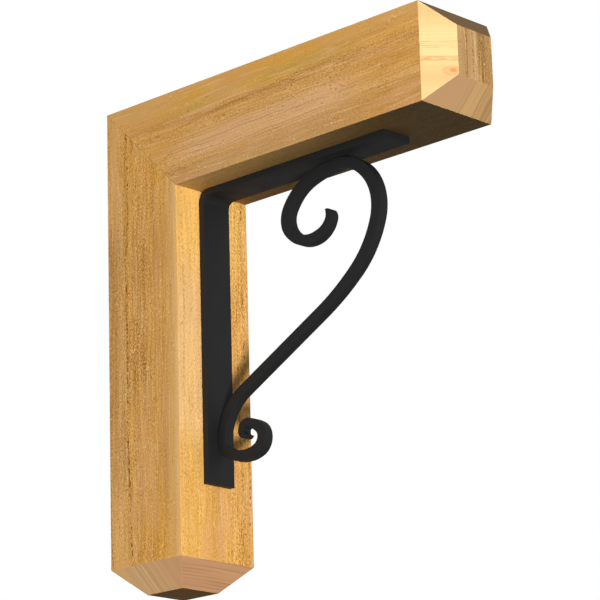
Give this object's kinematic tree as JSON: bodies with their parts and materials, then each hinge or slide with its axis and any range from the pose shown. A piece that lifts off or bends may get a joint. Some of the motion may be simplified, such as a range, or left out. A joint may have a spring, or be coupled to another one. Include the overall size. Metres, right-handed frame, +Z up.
{
  "type": "timber corbel bracket",
  "caption": "Mitred square-timber corbel bracket that carries a beam or shelf off a wall, its inner corner tied by an iron strap and a scrolled iron brace.",
  "frame": {"origin": "middle of the leg's flat wall face: half way across the width and half way up the height", "axes": "+Z up, -Y out from the wall along the arm, +Y into the wall, X across the width"},
  "size_m": [0.1396, 0.635, 0.702],
  "materials": {
    "leg_timber": "golden tan softwood, satin clear coat, vertical grain",
    "arm_timber": "golden tan softwood, satin clear coat, grain along the arm",
    "strap_iron": "satin charcoal black on iron flat bar",
    "scroll_iron": "satin charcoal black on a forged iron bar"
  },
  "bodies": {
    "root": {"timber_leg": "leg_timber", "timber_arm": "arm_timber", "iron_strap": "strap_iron", "iron_scroll": "scroll_iron"}
  },
  "joints": []
}
